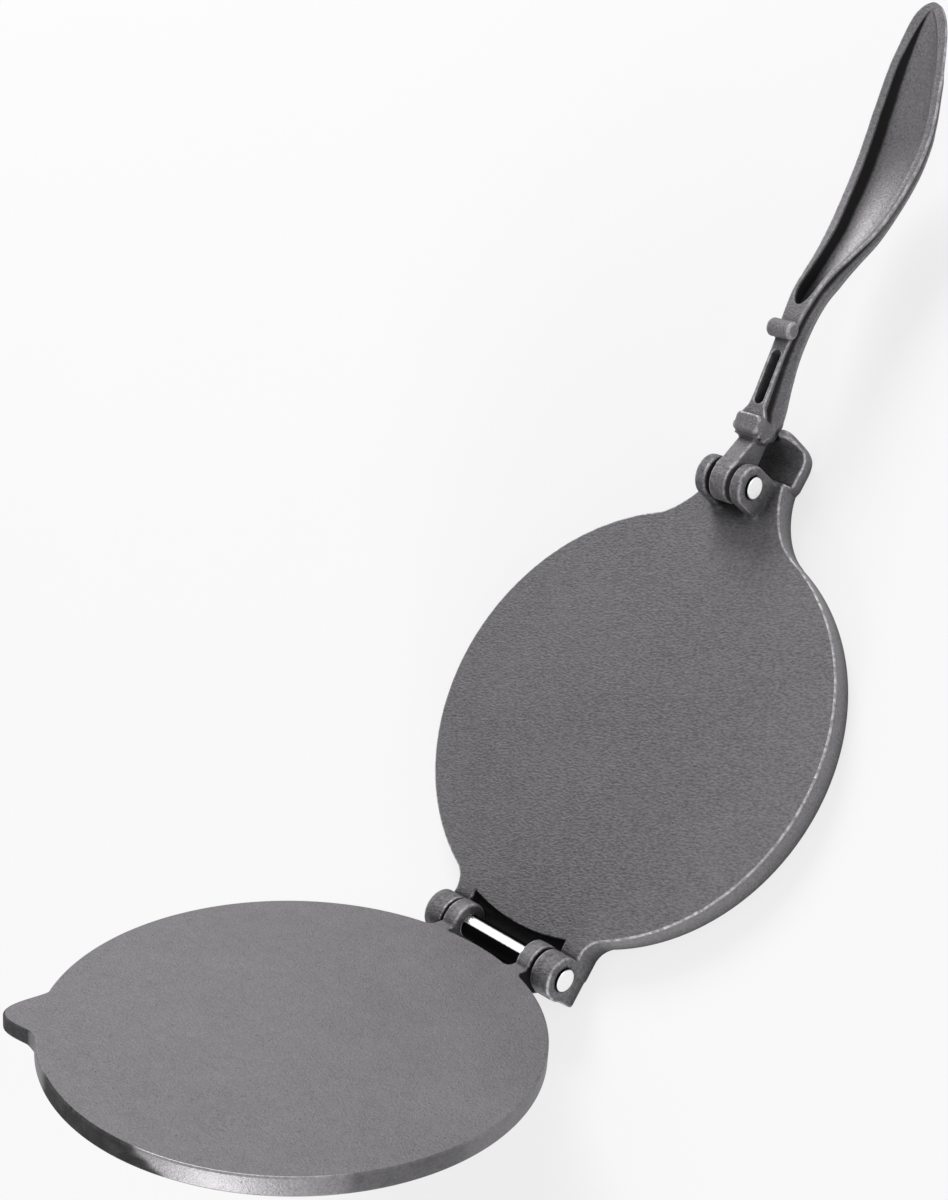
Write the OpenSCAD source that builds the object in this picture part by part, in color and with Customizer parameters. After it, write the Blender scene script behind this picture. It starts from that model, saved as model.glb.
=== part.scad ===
// Cast iron tortilla press: a base with a neck, a hinged lid and a lever handle on two steel pins.
// The origin is the centre of the base disc on the table, with +Z up.
// The lid's hinge axis lies along X at the back, on +Y, and the handle pivots at the front, on -Y.
// It is drawn open: the lid leans back on its stop and the handle lies in the cradle of the neck.

/* [Plates] */
// Radius of the base disc
base_r = 103.4; // [98:0.1:112]
// Height of the base from the table to its pressing face
base_h = 13.5; // [12.5:0.1:18]
// Wall under the base's pressing face
base_wall = 5.8; // [5:0.1:8]
// Width of the skirt that the base stands on
skirt_w = 6; // [4:0.1:10]
// How much smaller in radius the lid is than the base
lid_inset = 1.4; // [0:0.1:4]
// Thickness of the lid at its rim
lid_h = 8.4; // [7.5:0.1:10]
// Wall of the lid inside its rim
lid_wall = 5.6; // [5:0.1:7]
// Width of the raised rim round the lid's back
lid_rim_w = 7; // [4:0.1:12]
// Gap left between the closed plates
plate_gap = 0.2; // [0.1:0.05:1]
// Radius of the worn edge round each plate
edge_r = 1.3; // [0.5:0.1:2]

/* [Lift tab] */
// How far the lid's lift tab stands out of its edge
tab_out = 13.6; // [8:0.1:18]
// Angle of the tab round the lid, from the handle's side
tab_angle = 41; // [30:1:80]
// Half of the tab's spread round the lid's edge, in degrees
tab_spread = 11; // [8:0.5:16]

/* [Hinge] */
// Distance of the hinge axis beyond the base disc
hinge_out = 11.1; // [10.8:0.1:14]
// Height of the hinge axis above the base's pressing face
hinge_rise = 3.1; // [2.5:0.1:4]
// Diameter of the hinge pin and the handle pin
pin_d = 10.8; // [9:0.1:12]
// How far each pin stands out of its ears
pin_proud = 1.4; // [0.4:0.1:3]
// Half of the distance between the outer faces of the hinge ears
ear_out = 39.5; // [36:0.1:46]
// Thickness of each hinge ear
ear_w = 11; // [8:0.1:13]
// Radius of the eye of each hinge ear
ear_r = 9.8; // [8.5:0.1:11]
// Radius of the lid's knuckles
knuckle_r = 10.2; // [9:0.1:11]
// Width of each lid knuckle
knuckle_w = 7.8; // [5:0.1:10]
// Side gap between a knuckle and its ear
knuckle_gap = 1.2; // [0.4:0.1:2]
// Angle by which the lid opens
open_angle = 125; // [110:1:130]

/* [Handle pivot] */
// Distance of the handle pin beyond the base disc
pivot_out = 13.5; // [13:0.1:16]
// Height of the handle pin above the base's pressing face
pivot_rise = 12.9; // [12.5:0.1:14]
// Half of the distance between the outer faces of the handle ears
clevis_out = 13.2; // [12.5:0.1:15]
// Thickness of each handle ear
clevis_w = 6.2; // [5:0.1:7]
// Radius of the top of each handle ear
clevis_r = 9.8; // [8.5:0.1:11]
// Radius of the handle's hub
hub_r = 9.8; // [8.5:0.1:11]
// Width of the handle's hub
hub_w = 9.2; // [7:0.1:11]
// How far the neck and the handle stand to one side of the disc's centre
front_x = -0.8; // [-1.5:0.1:1.5]

/* [Neck] */
// Half of the neck's width at its end
neck_half = 19.2; // [17:0.1:24]
// Depth of the trough across the neck below the pressing face
trough_depth = 5.6; // [2:0.1:7]
// Distance of the neck's end beyond the handle pin
neck_end = 31.4; // [31:0.1:36]
// Thickness of the cradle wall at the neck's end
cradle_w = 4.4; // [4:0.1:7]
// Height of the cradle's horns above the pressing face
cradle_rise = 12.5; // [10:0.1:14]

/* [Handle] */
// Length of the handle from its pin to its tip
handle_len = 233; // [200:0.1:260]
// Half of the widest part of the handle's grip
grip_half = 17.3; // [14:0.1:24]
// Width of the rim round the grip's hollow
grip_rim = 4.1; // [3:0.1:6]
// Thickness of the metal under the grip's hollow
grip_wall = 3.6; // [2.5:0.1:5]
// Length of the presser block along the handle
block_len = 8.6; // [6:0.1:11]
// Half of the presser block's width
block_half = 7.4; // [5.5:0.1:9]
// Half of the length of the crossbar on the arm
bar_half = 6.6; // [6:0.1:12]
// Radius of the crossbar
bar_r = 4.2; // [3:0.1:5.5]
// Width of the slot in the arm
slot_w = 4.9; // [2:0.1:5.5]
// Depth of the slot in the arm
slot_depth = 8; // [3:0.5:10]

/* [Hidden] */
$fn = 96;
disc_fn = 180;
cut = 1;

// Radial running gap round a pin, and the gap left at each stop
run_gap = 0.05;
stop_gap = 0.12;

// Colours of the castings and the pins
iron = "#6b6a6c";
steel = "#e9e9ec";

// Places of the two axes
hinge_y = base_r + hinge_out;
hinge_z = base_h + hinge_rise;
pivot_y = -(base_r + pivot_out);
pivot_z = base_h + pivot_rise;

// Underside of the base: its skirt, the soffit of the disc and the cross of ribs
skirt_r = base_r - skirt_w;
soffit_z = base_h - base_wall;
foot_bevel = 0.8;
rib_half = 3;

// Lid, in its closed place
lid_r = base_r - lid_inset;
lid_face_z = base_h + plate_gap;
lid_back_z = lid_face_z + lid_h;
rim_in_r = lid_r - lid_rim_w;
spine_half = 13;
tab_drop = 1.6;

// Hinge block and ears
ear_in = ear_out - ear_w;
block_y = hinge_y + ear_r;
block_z = 0.8;
block_root_y = skirt_r - 9;
block_round = 1.6;
ledge_z = base_h - 3.5;
arm_front_y = base_r - 6;

// Lid knuckles, and the lip and heel that stop the open lid
knuckle_out = ear_in - knuckle_gap;
knuckle_in = knuckle_out - knuckle_w;
swing_r = knuckle_r + 0.8;
lip_drop = 8.5;
heel_r = knuckle_r + 2.1;
heel_drop = lip_drop - stop_gap;
heel_turn = 270 - open_angle;
heel_span = 34;
arm_reach = 26;
arm_top = 22;

// Pins
pin_r = pin_d / 2;
hinge_pin_len = 2 * (ear_out + pin_proud);
handle_pin_len = 2 * (clevis_out + pin_proud);
pin_chamfer = 0.5;

// Handle ears and the fillet round their feet
clevis_in = clevis_out - clevis_w;
foot_fillet = 3;

// Neck, its trough and the cradle wall
end_y = pivot_y - neck_end;
step_y = pivot_y - clevis_r + 0.4;
floor_z = base_h - trough_depth;
horn_z = base_h + cradle_rise;
horn_round = 6.5;
horn_top_r = 2.1;
horn_end_y = end_y + 15;
trough_round = 6;
wall_round = 11;
corner_round = 3.5;
blend_angle = 23;
pocket_half = 12;
pocket_z = 4;
saddle_r = 9.8;

// Handle stations, measured from the pin: distance as a share of the length, height of the rim,
// half width of the rim as a share of the grip, half width of the body and depth of the body
stations = [
    [0.091, 5.6, 0.400, 7.2, 9.4],
    [0.112, 7.2, 0.420, 8.2, 17.4],
    [0.130, 8.2, 0.400, 8.7, 18.4],
    [0.150, 9.2, 0.260, 8.8, 17.0],
    [0.225, 12.4, 0.240, 8.3, 13.1],
    [0.277, 14.6, 0.245, 8.0, 12.6],
    [0.337, 16.8, 0.310, 8.0, 12.9],
    [0.389, 17.0, 0.385, 8.3, 13.5],
    [0.432, 15.0, 0.440, 9.3, 13.4],
    [0.484, 11.4, 0.560, 10.4, 12.3],
    [0.553, 7.5, 0.750, 12.2, 12.4],
    [0.622, 6.3, 0.880, 13.6, 12.7],
    [0.691, 6.9, 0.960, 14.8, 13.3],
    [0.743, 8.9, 1.000, 15.2, 13.6],
    [0.795, 12.7, 0.990, 14.8, 13.5],
    [0.877, 20.6, 0.870, 12.8, 12.0],
    [0.933, 25.9, 0.815, 10.6, 9.8],
    [1.000, 32.0, 0.870, 9.4, 8.0]
];
station_first = stations[0][0];
arm_start = 0.156;
tip_start = 0.86;

// Section of the handle: the lip under its rim, the waist above the ridge, and the round belly
lip = 0.13;
ridge = 0.5;
waist = 0.94;
waist_steps = 5;
belly_steps = 6;
levels = waist_steps + belly_steps + 1;
rim_share = 0.31;

// Hollow in the grip, as shares of the handle's length
hollow_from = 0.357;
hollow_to = 0.986;
hollow_start = 0.04;
hollow_close = 0.1;
hollow_steps = 48;
bowl_steps = 12;
bowl_power = 0.7;
above = 6;

// Features along the handle's arm, as distances from the pin
web_top = [3.2, hub_r - 0.6];
web_foot = [4, hub_r - 0.9];
web_end = 27.7;
web_high = 1.6;
web_low = 6.5;
block_at = 21.5;
block_low = 8.6;
block_tilt = 18;
block_corner = 2.4;
block_bevel = 0.9;
slot_from = 35.6;
slot_to = 61.1;
bar_at = 69.5;
bar_axis = 18.2;
bar_bevel = 1.5;

// Points on an arc round centre c, from angle a to angle b, in n steps
function arc(c, r, a, b, n) =
    [for (i = [0:n]) let (turn = a + (b - a) * i / n) c + r * [cos(turn), sin(turn)]];

// A list of points followed by its mirror image in the axis of height
function both_sides(side) = concat(side, [for (i = [len(side) - 1:-1:0]) [-side[i][0], side[i][1]]]);

// Values from a up to b, which is left out, in n steps
function spread(a, b, n) = [for (i = [0:n - 1]) a + (b - a) * i / n];

// Catmull-Rom value between b and c at share t, with a and d as the neighbours
function bend(a, b, c, d, t) =
    b + 0.5 * t * (c - a + t * (2 * a - 5 * b + 4 * c - d + t * (3 * (b - c) + d - a)));

// Index of the last station at or before share f
function station_at(f) = max([for (i = [0:len(stations) - 2]) if (stations[i][0] <= f) i]);

// Column k of the stations, bent smoothly at share f
function along(f, k) =
    let (i = station_at(f), last = len(stations) - 1)
    let (t = (f - stations[i][0]) / (stations[i + 1][0] - stations[i][0]))
    let (before = stations[max(i - 1, 0)][k], after = stations[min(i + 2, last)][k])
    bend(before, stations[i][k], stations[i + 1][k], after, t);

// A quarter round: 0 at t = 0, rising to 1 from t = 1 on
function round_in(t) = let (s = max(0, min(1, t))) sqrt(max(0.0004, s * (2 - s)));

// Share by which the grip draws in towards its round tip
function tip_in(f) = round_in((1 - f) / (1 - tip_start));
function rim_top(f) = along(f, 1);
function rim_half(f) = grip_half * along(f, 2) * tip_in(f);
function body_half(f) = along(f, 3) * tip_in(f);
function body_depth(f) = along(f, 4) * (1 + tip_in(f)) / 2;
function keel(f) = rim_top(f) - body_depth(f);

// Half width of the handle's section at share z of its depth: straight down the lip, in to the
// waist, out again to the ridge, then round to the keel
function flank(f, z) =
    let (rim = rim_half(f), body = body_half(f), narrow = waist * min(rim, body))
    let (t = (z - lip) / (ridge - lip), q = (z - ridge) / (1 - ridge))
    z <= lip ? rim
    : z < ridge ? narrow + (rim - narrow) * pow(1 - t, 3) + (body - narrow) * pow(t, 3)
    : body * sqrt(max(0, 1 - q * q));

// Share of the depth at each level of the section
function level_share(i) =
    i == 0 ? 0
    : i <= waist_steps + 1 ? lip + (ridge - lip) * (i - 1) / waist_steps
    : ridge + (1 - ridge) * sin(90 * (i - waist_steps - 1) / belly_steps);

// One closed ring of the handle's outside, looking from the pin to the tip
function section_point(f, i, side) =
    [side * flank(f, level_share(i)), -f * handle_len, rim_top(f) - body_depth(f) * level_share(i)];
function handle_ring(f) = concat(
    [for (i = [0:levels]) section_point(f, i, 1)],
    [for (i = [levels - 1:-1:0]) section_point(f, i, -1)]);

// Half width and depth of the hollow, closed at both of its ends
function hollow_in(f) =
    round_in((f - hollow_from) / hollow_start) * round_in((hollow_to - f) / hollow_close);
function band(f) = min(grip_rim, rim_share * rim_half(f));
function hollow_half(f) = max(0.3, (rim_half(f) - band(f)) * hollow_in(f));
function hollow_deep(f) = max(0.4, (body_depth(f) - grip_wall) * hollow_in(f));
function hollow_ring(f) =
    let (y = -f * handle_len, top = rim_top(f), half = hollow_half(f), deep = hollow_deep(f))
    concat(
        [[half, y, top + above]],
        [for (i = [0:bowl_steps]) let (turn = 180 * i / bowl_steps)
            [half * cos(turn), y, top - deep * pow(sin(turn), bowl_power)]],
        [[-half, y, top + above]]);

// A solid skin through equal rings, closed at both ends
module skin(rings) {
    m = len(rings);
    n = len(rings[0]);
    points = [for (ring = rings) for (p = ring) p];
    starts = [for (i = [0:m - 2]) i * n];
    lower = [for (a = starts) for (j = [0:n - 1]) [a + j, a + (j + 1) % n, a + n + j]];
    upper = [for (a = starts) for (j = [0:n - 1]) [a + (j + 1) % n, a + n + (j + 1) % n, a + n + j]];
    first = [for (j = [n - 1:-1:0]) j];
    last = [for (j = [0:n - 1]) (m - 1) * n + j];
    polyhedron(points, concat([first], lower, upper, [last]), convexity = 6);
}

// A profile of Y and Z points drawn out along X between two places
module along_x(points, x0, x1) {
    translate([x0, 0, 0]) rotate([90, 0, 90]) linear_extrude(x1 - x0) polygon(points);
}

// A profile of X and Z points drawn out along Y between two places
module along_y(points, y0, y1) {
    translate([0, y1, 0]) rotate([90, 0, 0]) linear_extrude(y1 - y0) polygon(points);
}

// A round bar along X through the point y, z
module round_x(r, y, z, x0, x1) {
    translate([x0, y, z]) rotate([0, 90, 0]) cylinder(r = r, h = x1 - x0);
}

module mirrored_x() {
    children();
    mirror([1, 0, 0]) children();
}

// Disc of the base with its hollow underside
module base_disc() {
    rotate_extrude($fn = disc_fn) polygon(concat(
        [[0, soffit_z], [skirt_r - 3, soffit_z], [skirt_r, soffit_z - 3], [skirt_r, 0]],
        [[base_r - foot_bevel, 0], [base_r, foot_bevel]],
        arc([base_r - edge_r, base_h - edge_r], edge_r, 0, 90, 5),
        [[0, base_h]]));
    // A cross of ribs under the disc, level with the skirt's foot
    for (turn = [0, 90]) rotate(turn) translate([-rib_half, -skirt_r - cut, 0])
        cube([2 * rib_half, 2 * skirt_r + 2 * cut, soffit_z + cut]);
}

// One side of the neck's outline: a Bezier curve from the disc to the step, then the round corner
function neck_side() =
    let (a = base_r * [sin(blend_angle), -cos(blend_angle)], d = [neck_half - 1, step_y])
    let (b = a - 11 * [cos(blend_angle), sin(blend_angle)], c = d + [2.6, 13])
    concat(
        [a + [0, 30]],
        [for (i = [0:12]) let (t = i / 12, s = 1 - t)
            s * s * s * a + 3 * s * s * t * b + 3 * s * t * t * c + t * t * t * d],
        [[neck_half, step_y - 2.5]],
        arc([neck_half - corner_round, end_y + corner_round], corner_round, 0, -90, 8));

// Side profile of the neck with its trough and the upturned wall
function neck_profile() =
    let (wall_y = end_y + cradle_w)
    concat(
        [[0, 0], [0, base_h], [step_y + 1, base_h]],
        [[step_y - 0.8, base_h - 0.9], [step_y - 1.8, floor_z]],
        arc([wall_y + trough_round, floor_z + trough_round], trough_round, 270, 180, 7),
        arc([wall_y - horn_top_r, horn_z - horn_top_r], horn_top_r, 0, 180, 6),
        arc([end_y + wall_round, wall_round], wall_round, 180, 270, 8));

// Front outline of the cradle with its rounded shoulders
module cradle_front() {
    shoulder = [neck_half - horn_round, horn_z - horn_round];
    side = concat([[neck_half, 0]], arc(shoulder, horn_round, 0, 90, 6));
    along_y(both_sides(side), end_y - cut, horn_end_y);
}

// Height of the saddle: just under the lowest place of the open handle near the cradle wall
cradle_share = neck_end / handle_len;
lowest_keel = min([for (f = spread(station_first, cradle_share, 12)) keel(f)]);
saddle_z = pivot_z + lowest_keel - stop_gap;

module neck() {
    saddle_len = neck_end - clevis_r;
    difference() {
        intersection() {
            linear_extrude(horn_z + cut) polygon(both_sides(neck_side()));
            along_x(neck_profile(), -base_r, base_r);
            union() {
                cradle_front();
                translate([-base_r, horn_end_y, 0]) cube([2 * base_r, base_r, base_h]);
            }
        }
        // Saddle that the open handle lies in, and the pocket under the neck
        translate([0, end_y - cut, saddle_z + saddle_r]) {
            rotate([-90, 0, 0]) cylinder(r = saddle_r, h = saddle_len);
            translate([-saddle_r, 0, 0]) cube([2 * saddle_r, saddle_len, horn_z]);
        }
        translate([-pocket_half, end_y + wall_round, -cut])
            cube([2 * pocket_half, neck_end + pivot_out - wall_round - cut, pocket_z + cut]);
    }
}

// Upright ears that hold the handle's pin, with a fillet round the outer side of each foot
module handle_ears() {
    fillet = concat(
        [[-cut, -cut], [foot_fillet, -cut], [foot_fillet, 0]],
        arc([foot_fillet, foot_fillet], foot_fillet, 270, 180, 6),
        [[-cut, foot_fillet]]);
    mirrored_x() difference() {
        union() {
            round_x(clevis_r, pivot_y, pivot_z, clevis_in, clevis_out);
            translate([clevis_in, pivot_y - clevis_r, floor_z])
                cube([clevis_w, 2 * clevis_r, pivot_z - floor_z]);
            translate([clevis_out, 0, base_h]) along_y(fillet, step_y + cut, pivot_y + clevis_r);
        }
        round_x(pin_r, pivot_y, pivot_z, clevis_in - cut, clevis_out + foot_fillet + cut);
    }
}

// Block and ears that hold the hinge pin
module hinge_block() {
    corner = arc([block_y - block_round, block_z + block_round], block_round, -90, 0, 4);
    ear_front = [[block_y, hinge_z], [hinge_y, hinge_z], [hinge_y - ear_r, base_h + 0.6]];
    ledge = [[block_y, ledge_z], [block_root_y, ledge_z], [block_root_y, block_z]];
    root = [[arm_front_y, base_h], [block_root_y, base_h], [block_root_y, block_z]];
    difference() {
        union() {
            along_x(concat(corner, ledge), -ear_out, ear_out);
            mirrored_x() along_x(concat(corner, ear_front, root), ear_in, ear_out);
            mirrored_x() round_x(ear_r, hinge_y, hinge_z, ear_in, ear_out);
        }
        // Room for the knuckles to swing, and a flat lip that stops the open lid
        round_x(swing_r, hinge_y, hinge_z, -ear_in, ear_in);
        translate([-ear_in, hinge_y, hinge_z - lip_drop]) cube([2 * ear_in, ear_r + cut, base_h]);
        round_x(pin_r, hinge_y, hinge_z, -ear_out - cut, ear_out + cut);
    }
}

module base_plate() {
    color(iron) union() {
        difference() {
            base_disc();
            round_x(swing_r, hinge_y, hinge_z, -ear_in, ear_in);
        }
        translate([front_x, 0, 0]) neck();
        translate([front_x, 0, 0]) handle_ears();
        hinge_block();
    }
}

// Outline of the lid's lift tab, a smooth swell of its edge
function tab_radius(a) = lid_r - cut + (tab_out + cut) * pow(cos(90 * a / tab_spread), 2);
module tab_outline() {
    polygon(concat([[0, 0]], [for (i = [-12:12])
        let (a = tab_spread * i / 12, turn = tab_angle + a - 90)
        tab_radius(a) * [cos(turn), sin(turn)]]));
}

// Disc of the lid in its closed place, with the pressing face down
module lid_disc() {
    translate([0, 0, lid_face_z]) {
        rotate_extrude($fn = disc_fn) polygon(concat(
            [[0, 0]],
            arc([lid_r - edge_r, edge_r], edge_r, -90, 0, 5),
            arc([lid_r - edge_r, lid_h - edge_r], edge_r, 0, 90, 5),
            [[rim_in_r, lid_h], [rim_in_r - 2, lid_wall], [0, lid_wall]]));
        // Spine that the presser block and the crossbar bear on
        translate([-spine_half, -rim_in_r - cut, lid_wall - cut])
            cube([2 * spine_half, 2 * rim_in_r + 2 * cut, lid_h - lid_wall + cut]);
        linear_extrude(lid_h - tab_drop) tab_outline();
    }
}

// Side profile of the arm that carries a knuckle, with the round of its heel
function arm_profile() =
    let (far = heel_turn - acos(heel_drop / heel_r))
    concat(
        [[hinge_y - arm_reach, lid_face_z], [hinge_y - 2, lid_face_z]],
        [for (p = arc([0, 0], heel_r, far, far - heel_span, 6)) [hinge_y - p[0], hinge_z + p[1]]],
        [[hinge_y - arm_top, lid_back_z], [hinge_y - arm_reach, lid_back_z - cut]]);

// Knuckles and arms of the lid; the flat on each heel meets the base's lip when the lid is open
module lid_knuckles() {
    mirrored_x() difference() {
        union() {
            round_x(knuckle_r, hinge_y, hinge_z, knuckle_in, knuckle_out);
            difference() {
                along_x(arm_profile(), knuckle_in, knuckle_out);
                translate([0, hinge_y, hinge_z]) rotate([-heel_turn, 0, 0]) mirror([0, 1, 0])
                    translate([knuckle_in - cut, heel_drop, -heel_r])
                        cube([knuckle_w + 2 * cut, heel_r, 2 * heel_r]);
            }
        }
        round_x(pin_r + run_gap, hinge_y, hinge_z, knuckle_in - cut, knuckle_out + cut);
    }
}

module lid_plate() {
    color(iron) translate([0, hinge_y, hinge_z]) rotate([-open_angle, 0, 0])
        translate([0, -hinge_y, -hinge_z]) {
            lid_disc();
            lid_knuckles();
        }
}

// Web from the hub to the handle's body
module handle_web() {
    along_x([[-web_top[0], web_top[1]], [-web_end, web_high], [-web_end, -web_low],
        [-block_at, -web_low], [-web_foot[0], -web_foot[1]], [0, 0]], -hub_w / 2, hub_w / 2);
}

// Block that presses on the lid: round at its corners, tilted to the lid and bevelled on top
module presser_block() {
    rise = tan(block_tilt) * block_len;
    reach = [block_half - block_corner, block_len / 2 - block_corner];
    near = -block_at;
    far = -block_at - block_len;
    corners = concat(
        arc(reach, block_corner, 0, 90, 4),
        arc([-reach[0], reach[1]], block_corner, 90, 180, 4),
        arc(-reach, block_corner, 180, 270, 4),
        arc([reach[0], -reach[1]], block_corner, 270, 360, 4));
    intersection() {
        translate([0, (near + far) / 2, 0]) linear_extrude(block_low + rise) polygon(corners);
        along_x([[near, 0], [near, block_low - block_bevel], [near - block_bevel, block_low],
            [far + block_bevel, block_low + rise], [far, block_low + rise - block_bevel], [far, 0]],
            -block_half, block_half);
        along_y(both_sides([[block_half, 0], [block_half, block_low - block_bevel],
            [block_half - 2 * block_bevel, horn_z]]), far, near);
    }
}

// Crossbar on the arm that bears on the lid behind the block
module crossbar() {
    flat = bar_half - bar_bevel;
    translate([0, -bar_at, bar_axis]) rotate([0, 90, 0]) rotate_extrude($fn = 48) polygon([
        [0, -bar_half], [bar_r - bar_bevel, -bar_half], [bar_r - 0.4, -bar_half + 0.5], [bar_r, -flat],
        [bar_r, flat], [bar_r - 0.4, bar_half - 0.5], [bar_r - bar_bevel, bar_half], [0, bar_half]]);
}

module handle_slot() {
    half = slot_w / 2;
    mid = (slot_from + slot_to) / 2;
    reach = (slot_to - slot_from) / 2 - half;
    drop = rim_top(slot_to / handle_len) - rim_top(slot_from / handle_len);
    slope = atan(drop / (slot_to - slot_from));
    translate([0, -mid, rim_top(mid / handle_len) - slot_depth]) rotate([-slope, 0, 0]) {
        translate([-half, -reach, 0]) cube([slot_w, 2 * reach, slot_depth + above]);
        translate([0, reach, 0]) cylinder(r = half, h = slot_depth + above, $fn = 32);
        translate([0, -reach, 0]) cylinder(r = half, h = slot_depth + above, $fn = 32);
    }
}

// Body of the handle, with closer rings at its root and its tip
module handle_body() {
    tip = [for (i = [0:16]) tip_start + (1 - tip_start) * sin(90 * i / 16)];
    places = concat(spread(station_first, arm_start, 10), spread(arm_start, tip_start, 46), tip);
    skin([for (f = places) handle_ring(f)]);
}

module handle_hollow() {
    skin([for (i = [0:hollow_steps]) let (t = (1 - cos(180 * i / hollow_steps)) / 2)
        hollow_ring(hollow_from + (hollow_to - hollow_from) * t)]);
}

module handle() {
    color(iron) translate([front_x, pivot_y, pivot_z]) difference() {
        union() {
            round_x(hub_r, 0, 0, -hub_w / 2, hub_w / 2);
            handle_web();
            presser_block();
            crossbar();
            handle_body();
        }
        round_x(pin_r + run_gap, 0, 0, -hub_w / 2 - cut, hub_w / 2 + cut);
        handle_slot();
        handle_hollow();
    }
}

// Plain pin with a small chamfer at each end
module pin(length) {
    half = length / 2;
    rotate([0, 90, 0]) rotate_extrude() polygon([
        [0, -half], [pin_r - pin_chamfer, -half], [pin_r, -half + pin_chamfer],
        [pin_r, half - pin_chamfer], [pin_r - pin_chamfer, half], [0, half]]);
}

module hinge_pin() {
    color(steel) translate([0, hinge_y, hinge_z]) pin(hinge_pin_len);
}

module handle_pin() {
    color(steel) translate([front_x, pivot_y, pivot_z]) pin(handle_pin_len);
}

base_plate();
lid_plate();
handle();
hinge_pin();
handle_pin();
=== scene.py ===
"""Looks of the tortilla press: two cast discs hinged together, a pressing handle and two steel pins."""

import math

import bpy
import numpy as np
from mathutils import Matrix, Vector


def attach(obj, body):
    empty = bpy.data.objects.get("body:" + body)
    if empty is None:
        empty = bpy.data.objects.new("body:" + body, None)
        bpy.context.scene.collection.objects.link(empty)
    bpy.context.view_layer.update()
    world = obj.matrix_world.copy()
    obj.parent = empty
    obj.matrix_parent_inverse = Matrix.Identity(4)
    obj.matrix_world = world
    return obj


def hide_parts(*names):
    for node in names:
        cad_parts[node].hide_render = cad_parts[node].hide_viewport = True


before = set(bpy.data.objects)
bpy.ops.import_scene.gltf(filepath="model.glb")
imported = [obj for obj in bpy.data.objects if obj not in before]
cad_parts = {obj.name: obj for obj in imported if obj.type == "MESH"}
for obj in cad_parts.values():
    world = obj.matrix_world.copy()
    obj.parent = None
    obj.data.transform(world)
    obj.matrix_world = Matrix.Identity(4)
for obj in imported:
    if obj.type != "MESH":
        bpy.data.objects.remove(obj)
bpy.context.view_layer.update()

MM = 0.001  # every length below is in millimetres until it becomes a mesh
WHITE = (1.0, 1.0, 1.0, 1.0)
PIN_DARK_BLACK = (0.005, 0.005, 0.005, 1.0)
PLAIN_WHITE_SHARE = 0.7  # of the floor as it is seen; the rest is the real shadow

# How large the marks in the iron's skin are, how the wrinkles lie in radians, and the painted shade's reach
WRINKLE, SAND, CLOUD, BLOTCH, PATCH = 0.95, 0.45, 42.0, 6.0, 2.6
PITS_APART, PIT_SHARE, WRINKLE_TURN, SHADE_REACH = 3.6, 0.17, 0.32, 15.0


# Shader maths


class Wire:
    """A number in a material. The operators and the named methods add nodes that work on it."""

    def __init__(self, bench, socket):
        self.bench, self.socket = bench, socket

    def __add__(self, other):
        return self.bench.maths("ADD", self, other)

    def __radd__(self, other):
        return self.bench.maths("ADD", other, self)

    def __sub__(self, other):
        return self.bench.maths("SUBTRACT", self, other)

    def __rsub__(self, other):
        return self.bench.maths("SUBTRACT", other, self)

    def __mul__(self, other):
        return self.bench.maths("MULTIPLY", self, other)

    def __rmul__(self, other):
        return self.bench.maths("MULTIPLY", other, self)

    def __pow__(self, other):
        return self.bench.maths("POWER", self, other)

    def __rpow__(self, other):
        return self.bench.maths("POWER", other, self)

    def size(self):
        """The number without its sign."""
        return self.bench.maths("ABSOLUTE", self)

    def limit(self):
        """The number held between 0 and 1."""
        return self.bench.maths("ADD", self, 0.0, clamp=True)

    def step(self, low, high):
        """0 below low, 1 above high, and a smooth ramp between them."""
        feed = {"Value": self, "From Min": low, "From Max": high}
        return self.bench.node("MapRange", {"interpolation_type": "SMOOTHSTEP"}, feed)


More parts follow.
